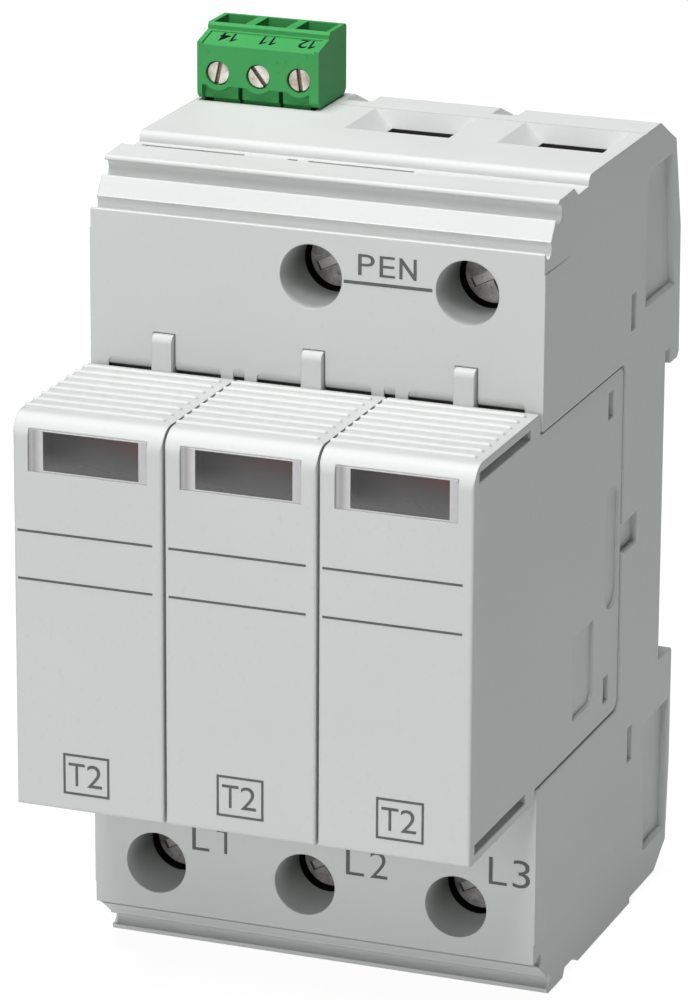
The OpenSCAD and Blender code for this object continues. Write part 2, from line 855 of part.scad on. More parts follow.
// Bare recesses on the side of a plug: a pill by the rear edge and a plate with cut corners
module plug_marks(x, side) {
    edge = x + side * plug_half;
    depth = side_recess / 2;
    across([min(edge - side * depth, edge + side), max(edge - side * depth, edge + side)]) {
        plate([pill_back - pill_w, pill_back], pill_z, [pill_r, pill_r, pill_r, pill_r]);
        polygon([[flat_back - flat_w, flat_z], [flat_back - flat_cut, flat_z], [flat_back, flat_z + flat_cut],
            [flat_back, flat_z + flat_h], [flat_back - flat_w, flat_z + flat_h]]);
    }
}

// Ridge inside a plug's side wall that holds the varistor block
module keeper(x, side) {
    near = x + side * (varistor_t / 2 + seat);
    far = x + side * (inner_half + past);
    for (y = [varistor_rear - 8, varistor_rear - varistor_size + 6])
        block([min(near, far), max(near, far)], [y - keeper_w, y],
            [plug_bottom + plug_wall - past, plug_top - plug_wall + past]);
}

module plug_base(x) {
    half = inner_half - seat;
    low = plug_bottom + plug_wall + seat;
    high = plug_top - plug_wall - seat;
    color("lightgray")
        difference() {
            union() {
                block([x - half, x + half], [plate_front, plug_rear], [low, high]);
                for (side = sides)
                    for (way = sides) {
                        root = x + side * (half - past);
                        tip = x + side * (half + snap_reach);
                        arm = x + side * half;
                        z = [way * snap_z - snap_h / 2, way * snap_z + snap_h / 2];
                        block([min(root, arm), max(root, arm)], [plate_front - snap_l, plate_front + past], z);
                        block([min(arm - side * past / 2, tip), max(arm - side * past / 2, tip)],
                            [plate_front - snap_l + snap_play + seat, plate_front - snap_play - 2 * seat], z);
                    }
            }
            for (way = sides)
                block([x - blade_t / 2 - seat, x + blade_t / 2 + seat], [plate_front - past, plug_rear + past],
                    [way * blade_z - blade_h / 2 - seat, way * blade_z + blade_h / 2 + seat]);
            round_bar(x, 0, slider_pin_r + glide, [plate_front - past, plug_rear + past]);
        }
}

module plug_window(x) {
    low = window_z - window_h / 2;
    color("lavender", 0.5)
        union() {
            window_pane(x);
            block([x - inner_half + seat, x + inner_half - seat], [inner_front, inner_front + window_t],
                [low - window_drop, low + window_h - seat]);
        }
}

module window_pane(x) {
    intersection() {
        window_hole(x, -seat);
        block([x - window_w, x + window_w], [plug_front + seat, inner_front + window_t / 2],
            [window_z - window_h, window_z + window_h]);
    }
}

module plug_flag(x) {
    low = window_z - window_h / 2;
    color("dimgray")
        union() {
            block([x - inner_half + glide, x + inner_half - glide], [flag_front, flag_front + flag_t],
                [low, low + window_h - glide]);
            block([x - flag_stem_w / 2, x + flag_stem_w / 2], [flag_front, flag_front + flag_t],
                [low - flag_stem_h, low + past]);
        }
}

module plug_varistor(x) {
    low = (plug_top + plug_bottom - varistor_size) / 2;
    color("royalblue")
        across([x - varistor_t / 2, x + varistor_t / 2])
            plate([varistor_rear - varistor_size, varistor_rear], [low, low + varistor_size],
                [varistor_r, varistor_r, varistor_r, varistor_r]);
}

module plug_blades(x) {
    color("goldenrod")
        for (way = sides)
            across([x - blade_t / 2, x + blade_t / 2])
                plate([varistor_rear, blade_tip], [way * blade_z - blade_h / 2, way * blade_z + blade_h / 2],
                    [0, blade_r, blade_r, 0]);
}

// Terminal screw with a crossed slot
module terminal_screw(x, z) {
    color("darkgray")
        difference() {
            union() {
                round_bar(x, z, screw_head_r, [head_front, head_back]);
                round_bar(x, z, screw_r, [head_back - seat, screw_tip]);
            }
            for (cut = [[0, cross_w], [90, cross_thin]])
                translate([x, head_front, z])
                    rotate([0, cross_turn + cut[0], 0])
                        cube([cross_l, 2 * cross_depth, cut[1]], center = true);
        }
}

// Clamp cage: a steel frame that the screw draws towards its head
module terminal_cage(x, z) {
    low = z - cage_h / 2;
    color("silver")
        difference() {
            block([x - cage_w / 2, x + cage_w / 2], [cage_front, cage_back], [low, low + cage_h]);
            block([x - cage_w / 2 + cage_wall, x + cage_w / 2 - cage_wall],
                [cage_front + cage_front_t, cage_back - cage_wall], [low - past, low + cage_h + past]);
            round_bar(x, z, screw_r + running, [cage_front - past, cage_front + cage_front_t + past]);
        }
}

module pen_busbar() {
    color("peru")
        union() {
            block([pole_xs[0] - leg_w / 2, pen_xs[1] + tongue_w / 2], [bar_front, bus_strip_back],
                [bus_z, bus_z + bar_t]);
            for (x = pen_xs)
                block([x - tongue_w / 2, x + tongue_w / 2], [bar_front, bar_back],
                    [bus_z, pen_z + tongue_over]);
            for (x = pole_xs) {
                leg_x = [x - leg_w / 2, x + leg_w / 2];
                block(leg_x, [bus_strip_back - past, leg_back], [bus_z, bus_z + bar_t]);
                block(leg_x, [leg_front, leg_back], [leg_end, bus_z + bar_t]);
            }
        }
}

module line_bar(i) {
    x = line_xs[i];
    tongue_x = [x - tongue_w / 2, x + tongue_w / 2];
    color("peru")
        union() {
            block(tongue_x, [bar_front, bar_back], [-line_z - tongue_over, -line_bus_z]);
            block(tongue_x, [bar_front, leg_back], [-line_bus_z - bar_t, -line_bus_z]);
            block([pole_xs[i] - leg_w / 2, pole_xs[i] + leg_w / 2], [leg_front, leg_back],
                [-line_bus_z - bar_t, -leg_end]);
        }
}

// Spring clip for one blade: two leaves on a root
module blade_clip(x, z) {
    block([x - clip_half, x + clip_half], [leg_front - clip_t, leg_front], [z - clip_h / 2, z + clip_h / 2]);
    for (side = sides) {
        near = x + side * clip_gap;
        far = x + side * clip_half;
        block([min(near, far), max(near, far)], [clip_front, leg_front], [z - clip_h / 2, z + clip_h / 2]);
    }
}

module pen_clips() {
    color("gold")
        for (x = pole_xs)
            blade_clip(x, blade_z);
}

module line_clips() {
    color("gold")
        for (x = pole_xs)
            blade_clip(x, -blade_z);
}

module signal_profile() {
    polygon([[signal_front, signal_z0 + signal_foot], [signal_front + signal_foot, signal_z0],
        [signal_rear - signal_foot, signal_z0], [signal_rear, signal_z0 + signal_foot],
        [signal_rear, signal_top - signal_edge], [signal_rear - signal_edge, signal_top],
        [signal_lip_y + signal_edge, signal_top], [signal_lip_y, signal_top - signal_edge],
        [signal_lip_y, signal_top - signal_lip_h], [signal_front, signal_label_z]]);
}

module signal_connector() {
    left = signal_x - signal_w / 2;
    right = signal_x + signal_w / 2;
    lip = [signal_lip_y - signal_sink, signal_top - signal_lip_h - signal_sink];
    color("mediumseagreen")
        difference() {
            union() {
                across([left, right])
                    signal_profile();
                block([signal_x - signal_neck_half, signal_x + signal_neck_half], signal_neck,
                    [signal_neck_z, signal_z0 + past]);
            }
            across([left + signal_cheek, right - signal_cheek])
                polygon([[signal_front - past, signal_label_z - 2 * signal_sink],
                    [signal_front - past, signal_top], [lip[0], signal_top], lip,
                    [signal_front, signal_label_z - signal_sink]]);
            difference() {
                block([left + signal_cheek, right - 2 * signal_cheek],
                    [signal_front - past, signal_front + signal_band_depth],
                    [signal_z0 - past, signal_band_z]);
                for (x = signal_xs)
                    round_bar(x, signal_screw_z, signal_hoop_r,
                        [signal_front - 2 * past, signal_front + 2 * past]);
            }
            for (x = [signal_xs[0], signal_xs[1]])
                block([x + signal_pitch / 2 - signal_gap_w / 2, x + signal_pitch / 2 + signal_gap_w / 2],
                    [signal_front - past, signal_front + signal_gap_depth], [signal_z0 - past, signal_band_z]);
            for (x = signal_xs) {
                round_bar(x, signal_screw_z, signal_head_r + header_gap, [signal_front - past, signal_shelf]);
                round_bar(x, signal_screw_z, signal_shank_r + running,
                    [signal_shelf - seat, signal_room_front + seat]);
                block([x - signal_room_half, x + signal_room_half], [signal_room_front, signal_room_back],
                    [signal_cage_z[0] - 2 * seat, signal_cage_z[1] + 2 * seat]);
                block([x - signal_entry_half, x + signal_entry_half], signal_entry,
                    [signal_screw_z, signal_top + past]);
                block([x - signal_strip_half - header_gap, x + signal_strip_half + header_gap],
                    [signal_strip_front - seat, signal_pin_y + signal_pin + header_gap],
                    [signal_neck_z - past, signal_screw_z]);
            }
        }
}

module signal_screw(i) {
    x = signal_xs[i];
    color("silver")
        difference() {
            union() {
                round_bar(x, signal_screw_z, signal_head_r,
                    [signal_head_front, signal_head_front + signal_head_h]);
                round_bar(x, signal_screw_z, signal_shank_r, [signal_head_front, signal_strip_front - seat]);
            }
            translate([x, signal_head_front, signal_screw_z])
                rotate([0, signal_turns[i], 0])
                    cube([signal_slot_w, 2 * signal_slot_depth, 2 * signal_head_r + past], center = true);
        }
}

module signal_cage(x) {
    color("silver")
        difference() {
            block([x - signal_cage_half, x + signal_cage_half], [signal_cage_front, signal_cage_back],
                signal_cage_z);
            block([x - signal_cage_half + signal_cage_wall, x + signal_cage_half - signal_cage_wall],
                [signal_cage_front + signal_cage_front_t, signal_cage_back - signal_cage_back_t],
                [signal_cage_z[0] - past, signal_cage_z[1] + past]);
            round_bar(x, signal_screw_z, signal_shank_r + running,
                [signal_cage_front - past, signal_cage_front + past]);
        }
}

module signal_contacts() {
    color("gold")
        for (x = signal_xs)
            block([x - signal_strip_half, x + signal_strip_half],
                [signal_strip_front, signal_strip_front + signal_strip_t], signal_strip_z);
}

module signal_header() {
    half = signal_neck_half + header_gap;
    color("darkolivegreen")
        difference() {
            block([signal_x - header_half, signal_x + header_half], header_y, [header_z0, top_z - header_rim]);
            block([signal_x - half, signal_x + half],
                [signal_neck[0] - header_gap, signal_neck[1] + header_gap],
                [header_z0 + header_floor, top_z + past]);
            for (x = signal_xs)
                block([x - signal_pin / 2 - pin_play, x + signal_pin / 2 + pin_play],
                    [signal_pin_y - pin_play, signal_pin_y + signal_pin + pin_play],
                    [header_z0 - past, header_z0 + header_floor + past]);
        }
}

module signal_pins() {
    color("gold")
        for (x = signal_xs)
            block([x - signal_pin / 2, x + signal_pin / 2], [signal_pin_y, signal_pin_y + signal_pin],
                [switch_z[1], pin_top]);
}

module signal_switch() {
    color("dimgray")
        union() {
            block(switch_x, switch_y, switch_z);
            for (x = signal_xs)
                block([x - lug_half, x + lug_half], [switch_y[1] - past, signal_pin_y + signal_pin],
                    [switch_z[1] - lug_t, switch_z[1]]);
        }
}

module signal_slider() {
    y = [slider_front, slider_front + slider_t];
    color("lightgray")
        union() {
            block([slider_left, slider_end], y, [-slider_half, slider_half]);
            block([slider_left, slider_left + slider_arm_w], y, [-slider_half, slider_top]);
            block([slider_left, slider_left + paddle_l], y, [slider_top - paddle_h, slider_top]);
            for (x = pole_xs)
                round_bar(x, 0, slider_pin_r, [plug_rear - 0.5, slider_front + past]);
        }
}

front_housing();
rear_housing();
rail_foot();
plug_housing(pole_xs[0]);  // plug_1_housing
plug_housing(pole_xs[1]);  // plug_2_housing
plug_housing(pole_xs[2]);  // plug_3_housing
plug_base(pole_xs[0]);  // plug_1_base
plug_base(pole_xs[1]);  // plug_2_base
plug_base(pole_xs[2]);  // plug_3_base
plug_window(pole_xs[0]);  // plug_1_window
plug_window(pole_xs[1]);  // plug_2_window
plug_window(pole_xs[2]);  // plug_3_window
plug_flag(pole_xs[0]);  // plug_1_flag
plug_flag(pole_xs[1]);  // plug_2_flag
plug_flag(pole_xs[2]);  // plug_3_flag
plug_varistor(pole_xs[0]);  // plug_1_varistor
plug_varistor(pole_xs[1]);  // plug_2_varistor
plug_varistor(pole_xs[2]);  // plug_3_varistor
plug_blades(pole_xs[0]);  // plug_1_blades
plug_blades(pole_xs[1]);  // plug_2_blades
plug_blades(pole_xs[2]);  // plug_3_blades
terminal_screw(pen_xs[0], pen_z);  // pen_screw_1
terminal_screw(pen_xs[1], pen_z);  // pen_screw_2
terminal_screw(line_xs[0], -line_z);  // line_screw_1
terminal_screw(line_xs[1], -line_z);  // line_screw_2
terminal_screw(line_xs[2], -line_z);  // line_screw_3
terminal_cage(pen_xs[0], pen_z);  // pen_cage_1
terminal_cage(pen_xs[1], pen_z);  // pen_cage_2
terminal_cage(line_xs[0], -line_z);  // line_cage_1
terminal_cage(line_xs[1], -line_z);  // line_cage_2
terminal_cage(line_xs[2], -line_z);  // line_cage_3
pen_busbar();
line_bar(0);  // line_bar_1
line_bar(1);  // line_bar_2
line_bar(2);  // line_bar_3
pen_clips();
line_clips();
signal_connector();
signal_screw(0);  // signal_screw_1
signal_screw(1);  // signal_screw_2
signal_screw(2);  // signal_screw_3
signal_cage(signal_xs[0]);  // signal_cage_1
signal_cage(signal_xs[1]);  // signal_cage_2
signal_cage(signal_xs[2]);  // signal_cage_3
signal_contacts();
signal_header();
signal_pins();
signal_switch();
signal_slider();
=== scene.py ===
import json
import math

import bmesh
import bpy
from mathutils import Matrix, Vector


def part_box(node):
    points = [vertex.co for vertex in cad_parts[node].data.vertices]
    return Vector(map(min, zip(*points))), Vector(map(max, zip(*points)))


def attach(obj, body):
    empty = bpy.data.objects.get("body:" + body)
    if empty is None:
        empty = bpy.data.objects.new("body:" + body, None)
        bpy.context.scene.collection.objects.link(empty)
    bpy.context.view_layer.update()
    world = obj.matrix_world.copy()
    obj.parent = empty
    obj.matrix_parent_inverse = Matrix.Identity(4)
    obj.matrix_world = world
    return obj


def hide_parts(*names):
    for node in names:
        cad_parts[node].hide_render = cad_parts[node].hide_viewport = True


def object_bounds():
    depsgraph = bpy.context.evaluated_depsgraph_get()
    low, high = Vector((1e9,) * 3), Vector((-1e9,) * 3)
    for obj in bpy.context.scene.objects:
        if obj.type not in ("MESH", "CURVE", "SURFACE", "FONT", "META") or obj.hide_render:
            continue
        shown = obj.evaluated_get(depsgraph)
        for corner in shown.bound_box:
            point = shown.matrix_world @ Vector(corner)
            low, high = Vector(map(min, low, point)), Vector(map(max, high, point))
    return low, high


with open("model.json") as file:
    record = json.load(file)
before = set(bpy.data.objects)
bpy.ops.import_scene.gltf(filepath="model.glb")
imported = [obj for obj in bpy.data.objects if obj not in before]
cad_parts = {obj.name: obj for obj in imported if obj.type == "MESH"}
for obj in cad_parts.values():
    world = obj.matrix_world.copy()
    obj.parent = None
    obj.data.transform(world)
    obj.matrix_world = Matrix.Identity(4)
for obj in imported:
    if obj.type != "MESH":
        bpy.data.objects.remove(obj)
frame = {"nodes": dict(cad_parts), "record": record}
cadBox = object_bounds()
nodes = frame["nodes"]
scene = bpy.context.scene
scene.view_settings.view_transform = "Standard"
mm = 0.001
polePitch = 17.8 * mm
print("frame loaded:", len(nodes), "nodes")

# camera

viewpoint = {
    "azimuth": 20.822,
    "elevation": 17.806,
    "roll": 0.313,
    "distance": 0.631462,
    "lens": 200.33,
    "sensor": 36,
    "clip": (0.01, 20),
    "aim": (0.0, -0.030, 0.0),
    "slideRight": -0.001449,
    "slideUp": 0.005442,
}


def placeCamera(spec):
    azimuth, elevation, roll = (math.radians(spec[k]) for k in ("azimuth", "elevation", "roll"))
    back = Vector((math.sin(azimuth) * math.cos(elevation), -math.cos(azimuth) * math.cos(elevation),
                   math.sin(elevation)))
    right = Vector((math.cos(azimuth), math.sin(azimuth), 0))
    up = back.cross(right)
    aim = Vector(spec["aim"]) + right * spec["slideRight"] + up * spec["slideUp"]
    rolledRight = right * math.cos(roll) + up * math.sin(roll)
    rolledUp = up * math.cos(roll) - right * math.sin(roll)
    lens = bpy.data.cameras.new("photoCamera")
    lens.lens = spec["lens"]
    lens.sensor_width = spec["sensor"]
    lens.clip_start, lens.clip_end = spec["clip"]
    camera = bpy.data.objects.new("photoCamera", lens)
    scene.collection.objects.link(camera)
    turn = Matrix((rolledRight, rolledUp, back)).transposed().to_4x4()
    camera.matrix_world = Matrix.Translation(aim + back * spec["distance"]) @ turn
    scene.camera = camera


placeCamera(viewpoint)
print("camera placed")

# helpers for nodes and objects


def feed(tree, socket, value):  # a link, or a constant set on the socket
    if isinstance(value, bpy.types.NodeSocket):
        tree.links.new(value, socket)
    else:
        socket.default_value = (*value, 1) if isinstance(value, tuple) else value


def combine(tree, operation, *values):
    node = tree.nodes.new("ShaderNodeMath")
    node.operation = operation
    for socket, value in zip(node.inputs, values):
        feed(tree, socket, value)
    return node.outputs[0]


def above(tree, value, limit):
    return combine(tree, "GREATER_THAN", value, limit)


def below(tree, value, limit):
    return combine(tree, "LESS_THAN", value, limit)


def absolute(tree, value):
    return combine(tree, "ABSOLUTE", value)


def product(tree, *values):
    result = values[0]
    for value in values[1:]:
        result = combine(tree, "MULTIPLY", result, value)
    return result


def wrapOver(tree, value, pitch):
    return combine(tree, "WRAP", value, pitch / 2, -pitch / 2)


def mapRange(tree, source, low, high, toLow, toHigh):
    node = tree.nodes.new("ShaderNodeMapRange")
    for label, value in zip(("From Min", "From Max", "To Min", "To Max"), (low, high, toLow, toHigh)):
        node.inputs[label].default_value = value
    tree.links.new(source, node.inputs["Value"])
    return node.outputs["Result"]


def spread(tree, source, span):  # 0 to 1 laid over a span
    return mapRange(tree, source, 0, 1, *span)


def mixColours(tree, factor, first, second):
    node = tree.nodes.new("ShaderNodeMix")
    node.data_type = "RGBA"
    for index, value in ((0, factor), (6, first), (7, second)):
        feed(tree, node.inputs[index], value)
    return node.outputs[2]


def mixShaders(tree, factor, first, second):
    node = tree.nodes.new("ShaderNodeMixShader")
    for socket, source in zip(node.inputs, (factor, first, second)):
        tree.links.new(source, socket)
    return node.outputs[0]


def splitPlace(tree):  # the three Object coordinates
    place = tree.nodes.new("ShaderNodeTexCoord")
    split = tree.nodes.new("ShaderNodeSeparateXYZ")
    tree.links.new(place.outputs["Object"], split.inputs[0])
    return split.outputs


def startMaterial(name):
    material = bpy.data.materials.new(name)
    material.use_nodes = True
    tree = material.node_tree
    return material, tree, tree.nodes["Principled BSDF"]


def makeObject(name, shape, material):
    mesh = bpy.data.meshes.new(name)
    shape.to_mesh(mesh)
    shape.free()
    mesh.materials.append(material)
    made = bpy.data.objects.new(name, mesh)
    scene.collection.objects.link(made)
    return made


# studio

studio = {
    "ambient": 0.06,
    "backdrop": 1.0,
    "floorGap": 0.0002,
    "floorSize": 6.0,
    "floorRough": 0.9,
    "floorGlow": 0.88,
    "glowLevel": 1.06,
    "underLight": 0.42,  # share of the floor that is lit from below, as on a light table
    "floorPale": (0.95, 0.95, 0.95),
    "floorBounce": (0.525, 0.545, 0.532),
    "lamps": [  # name, place, size, watts
        ("keyLamp", (-0.10, -0.08, 1.18), 0.50, 12.8),
        ("slopeLamp", (0.02, -0.68, 0.96), 0.40, 5.2),
        ("lowLamp", (-0.14, -1.18, 0.26), 0.50, 3.6),
    ],
}


def placeLamp(name, place, size, watts):
    lamp = bpy.data.lights.new(name, "AREA")
    lamp.size = size
    lamp.energy = watts
    holder = bpy.data.objects.new(name, lamp)
    holder.location = place
    holder.rotation_mode = "QUATERNION"
    holder.rotation_quaternion = (Vector(viewpoint["aim"]) - Vector(place)).to_track_quat("-Z", "Y")
    scene.collection.objects.link(holder)


def buildWorld(spec):  # dim light on the object, plain white to the camera
    world = bpy.data.worlds.new("studioWorld")
    scene.world = world
    world.use_nodes = True
    tree = world.node_tree
    ambient = tree.nodes["Background"]
    backdrop = tree.nodes.new("ShaderNodeBackground")
    for node, level in ((ambient, spec["ambient"]), (backdrop, spec["backdrop"])):
        node.inputs["Color"].default_value = (1, 1, 1, 1)
        node.inputs["Strength"].default_value = level
    path = tree.nodes.new("ShaderNodeLightPath")
    seen = mixShaders(tree, path.outputs["Is Camera Ray"], ambient.outputs[0], backdrop.outputs[0])
    tree.links.new(seen, tree.nodes["World Output"].inputs[0])


def paperMaterial(spec):  # white with a soft shadow to the camera, clear from below
    material, tree, diffuse = startMaterial("studioPaper")
    path = tree.nodes.new("ShaderNodeLightPath")
    white = combine(tree, "MAXIMUM", path.outputs["Is Camera Ray"], path.outputs["Is Transmission Ray"])
    tree.links.new(mixColours(tree, white, spec["floorBounce"], spec["floorPale"]), diffuse.inputs["Base Color"])
    diffuse.inputs["Roughness"].default_value = spec["floorRough"]
    diffuse.inputs["Specular IOR Level"].default_value = 0.0
    glow = tree.nodes.new("ShaderNodeEmission")
    glow.inputs["Strength"].default_value = spec["glowLevel"]
    clear = tree.nodes.new("ShaderNodeBsdfTransparent")
    facing = tree.nodes.new("ShaderNodeNewGeometry")
    share = spread(tree, white, (spec["underLight"], spec["floorGlow"]))
    lit = mixShaders(tree, share, diffuse.outputs[0], glow.outputs[0])
    sided = mixShaders(tree, facing.outputs["Backfacing"], lit, clear.outputs[0])
    tree.links.new(sided, tree.nodes["Material Output"].inputs[0])
    return material


def buildStudio(spec):
    for lamp in spec["lamps"]:
        placeLamp(*lamp)
    buildWorld(spec)
    sheet = bmesh.new()
    bmesh.ops.create_grid(sheet, x_segments=1, y_segments=1, size=spec["floorSize"] / 2)
    bmesh.ops.translate(sheet, verts=sheet.verts, vec=(0, 0, cadBox[0].z - spec["floorGap"]))
    floor = makeObject("studioFloor", sheet, paperMaterial(spec))


buildStudio(studio)
print("studio set")

# shared effects


def newGroup(name, inputs, outputs):
    group = bpy.data.node_groups.new(name, "ShaderNodeTree")
    for label, value in inputs.items():
        socket = group.interface.new_socket(label, in_out="INPUT", socket_type="NodeSocketFloat")
        socket.default_value = value
    for label in outputs:
        group.interface.new_socket(label, in_out="OUTPUT", socket_type="NodeSocketFloat")
    return group, group.nodes.new("NodeGroupOutput").inputs


def noiseOver(tree, place, **values):
    node = tree.nodes.new("ShaderNodeTexNoise")
    tree.links.new(place, node.inputs["Vector"])
    for label, value in values.items():
        feed(tree, node.inputs[label], value)
    return node.outputs["Fac"]


def buildMouldGrain():  # spark-eroded grain and slow flow marks of moulded plastic
    group, leave = newGroup("mouldGrain", {"Grain Scale": 6500.0, "Flow Scale": 45.0}, ["Height", "Flow", "Speck"])
    entry = group.nodes.new("NodeGroupInput").outputs
    place = group.nodes.new("ShaderNodeTexCoord").outputs["Object"]
    grain = noiseOver(group, place, Scale=entry["Grain Scale"], Detail=2.0, Roughness=0.55)
    flow = noiseOver(group, place, Scale=entry["Flow Scale"], Detail=3.0, Distortion=0.4)
    speck = noiseOver(group, place, Scale=1400.0, Detail=1.0)
    group.links.new(grain, leave["Height"])
    group.links.new(mapRange(group, flow, 0.35, 0.65, 0, 1), leave["Flow"])
    group.links.new(mapRange(group, speck, 0.66, 0.72, 0, 1), leave["Speck"])
    return group


def buildPlatedMetal():  # drawn and zinc-plated metal: fine lines with cloudy patches
    group, leave = newGroup("platedMetal", {"Line Scale": 900.0, "Cloud Scale": 380.0}, ["Height", "Cloud", "Line"])
    entry = group.nodes.new("NodeGroupInput").outputs
    place = group.nodes.new("ShaderNodeTexCoord").outputs["Object"]
    stretch = group.nodes.new("ShaderNodeMapping")
    stretch.inputs["Scale"].default_value = (1.0, 0.12, 3.0)
    group.links.new(place, stretch.inputs["Vector"])
    line = noiseOver(group, stretch.outputs["Vector"], Scale=entry["Line Scale"], Detail=3.0)
    cloud = noiseOver(group, place, Scale=entry["Cloud Scale"], Detail=4.0)
    group.links.new(line, leave["Height"])
    group.links.new(mapRange(group, cloud, 0.3, 0.7, 0, 1), leave["Cloud"])
    group.links.new(mapRange(group, line, 0.35, 0.65, 0, 1), leave["Line"])
    return group


# painted shade zones: the rooms within the blocks, the label slits and the gap under the edge over the plugs, with
# the tabs left out
innerRooms = {
    "halfWide": 25.6 * mm,
    "front": -35.95 * mm,
    "back": -1.0 * mm,
    "low": 23.4 * mm,
    "high": 43.98 * mm,
    "under": -45.18 * mm,
    "slit": -30.5 * mm,
    "slitHalf": 0.3 * mm,
    "slitTop": 44.7 * mm,
    "slitShare": 0.6,
    "lipFront": -43.45 * mm,
    "lipBack": -41.4 * mm,
    "lipFoot": 20.6 * mm,
    "lipTop": 22.86 * mm,
    "lipFade": 0.16 * mm,
    "tabHalf": 1.25 * mm,
}


def buildInnerShade(spec):  # painted shade, 1 within the two terminal blocks and under the edge over the plugs, less in the slits, where shadow would fall
    group, leave = newGroup("innerShade", {}, ["Inside"])
    x, y, z = splitPlace(group)
    between = below(group, absolute(group, x), spec["halfWide"])
    room = product(group, between, above(group, y, spec["front"]), below(group, y, spec["back"]),
                   above(group, absolute(group, z), spec["low"]), below(group, z, spec["high"]),
                   above(group, z, spec["under"]))
    offSlit = absolute(group, combine(group, "SUBTRACT", y, spec["slit"]))
    slit = product(group, below(group, offSlit, spec["slitHalf"]), spec["slitShare"], between,
                   below(group, z, spec["slitTop"]), above(group, z, spec["low"]))
    offPole = absolute(group, wrapOver(group, x, polePitch))
    lip = product(group, mapRange(group, z, spec["lipTop"], spec["lipTop"] + spec["lipFade"], 1, 0), between,
                  above(group, offPole, spec["tabHalf"]), above(group, y, spec["lipFront"]),
                  below(group, y, spec["lipBack"]), above(group, z, spec["lipFoot"]))
    darkest = combine(group, "MAXIMUM", combine(group, "MAXIMUM", room, slit), lip)
    group.links.new(darkest, leave["Inside"])
    return group


# painted shade zones: the valleys between the plug ribs, and each screw well deeper in and towards its upper left
hollows = {
    "ribsRise": (22.70 * mm, 22.90 * mm),
    "ribsFall": (22.96 * mm, 23.12 * mm),
    "ribsBack": -44.0 * mm,
    "ribShare": 0.24,
    "wellMouth": -43.3 * mm,
    "wellFoot": -36.4 * mm,
    "wellEnd": -35.8 * mm,
    "wellHalf": 3.75 * mm,
    "wellPitch": 18.2 * mm,
    "wellShare": 0.95,
    "wellLeft": (-3.2 * mm, 0.6 * mm),
    "wellLow": (-2.8 * mm, -0.4 * mm),
    "wellRows": [(-0.4 * mm, 35.4 * mm), (-0.9 * mm, -36.1 * mm)],  # X and Z of one well in each row
}


def buildHollowShade(spec):  # painted shade, dim between the ribs of the plugs and at the left of the screw wells, where shadow would fall
    group, leave = newGroup("hollowShade", {}, ["Dim"])
    x, y, z = splitPlace(group)
    dim = product(group, mapRange(group, z, *spec["ribsRise"], 0, 1),
                  mapRange(group, z, *spec["ribsFall"], spec["ribShare"], 0), below(group, y, spec["ribsBack"]))
    depth = mapRange(group, y, spec["wellMouth"], spec["wellFoot"], 0, spec["wellShare"])
    for wellX, wellZ in spec["wellRows"]:
        aside = wrapOver(group, combine(group, "SUBTRACT", x, wellX), spec["wellPitch"])
        over = combine(group, "SUBTRACT", z, wellZ)
        well = product(group, depth, mapRange(group, aside, *spec["wellLeft"], 1, 0),
                       mapRange(group, over, *spec["wellLow"], 0, 1), below(group, y, spec["wellEnd"]),
                       below(group, absolute(group, over), spec["wellHalf"]),
                       below(group, absolute(group, aside), spec["wellHalf"]))
        dim = combine(group, "MAXIMUM", dim, well)
    group.links.new(dim, leave["Dim"])
    return group


def buildWindowShade():  # across and up a status window, 0 to 1, the same on every plug
    group, leave = newGroup("windowShade", {"Half Width": 0.00693, "Low": 0.0166, "High": 0.0214}, ["Across", "Up"])
    entry = group.nodes.new("NodeGroupInput").outputs
    place = splitPlace(group)
    across = combine(group, "ADD", wrapOver(group, place["X"], polePitch), entry["Half Width"])
    wide = product(group, entry["Half Width"], 2.0)
    up = combine(group, "SUBTRACT", place["Z"], entry["Low"])
    tall = combine(group, "SUBTRACT", entry["High"], entry["Low"])
    group.links.new(combine(group, "DIVIDE", across, wide), leave["Across"])
    group.links.new(combine(group, "DIVIDE", up, tall), leave["Up"])
    return group


mouldGrain = buildMouldGrain()
platedMetal = buildPlatedMetal()
innerShade = buildInnerShade(innerRooms)
hollowShade = buildHollowShade(hollows)
windowShade = buildWindowShade()
print("effects made")

# finishes


def placeGroup(tree, group, **values):
    node = tree.nodes.new("ShaderNodeGroup")
    node.node_tree = group
    for label, value in values.items():
        node.inputs[label.replace("_", " ")].default_value = value
    return node.outputs


softEdges = {"samples": 6, "seam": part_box("rear_housing")[0].y, "seamHalf": 0.6 * mm}


def bumpOn(tree, height, shader, distance, strength, edge=0.0):
    bump = tree.nodes.new("ShaderNodeBump")
    bump.inputs["Distance"].default_value = distance
    bump.inputs["Strength"].default_value = strength
    tree.links.new(height, bump.inputs["Height"])
    if edge:  # softens the sharp edges, not the seam of the two housings
        bevel = tree.nodes.new("ShaderNodeBevel")
        bevel.samples = softEdges["samples"]
        away = absolute(tree, combine(tree, "SUBTRACT", splitPlace(tree)["Y"], softEdges["seam"]))
        tree.links.new(product(tree, above(tree, away, softEdges["seamHalf"]), edge), bevel.inputs["Radius"])
        tree.links.new(bevel.outputs["Normal"], bump.inputs["Normal"])
    tree.links.new(bump.outputs["Normal"], shader.inputs["Normal"])


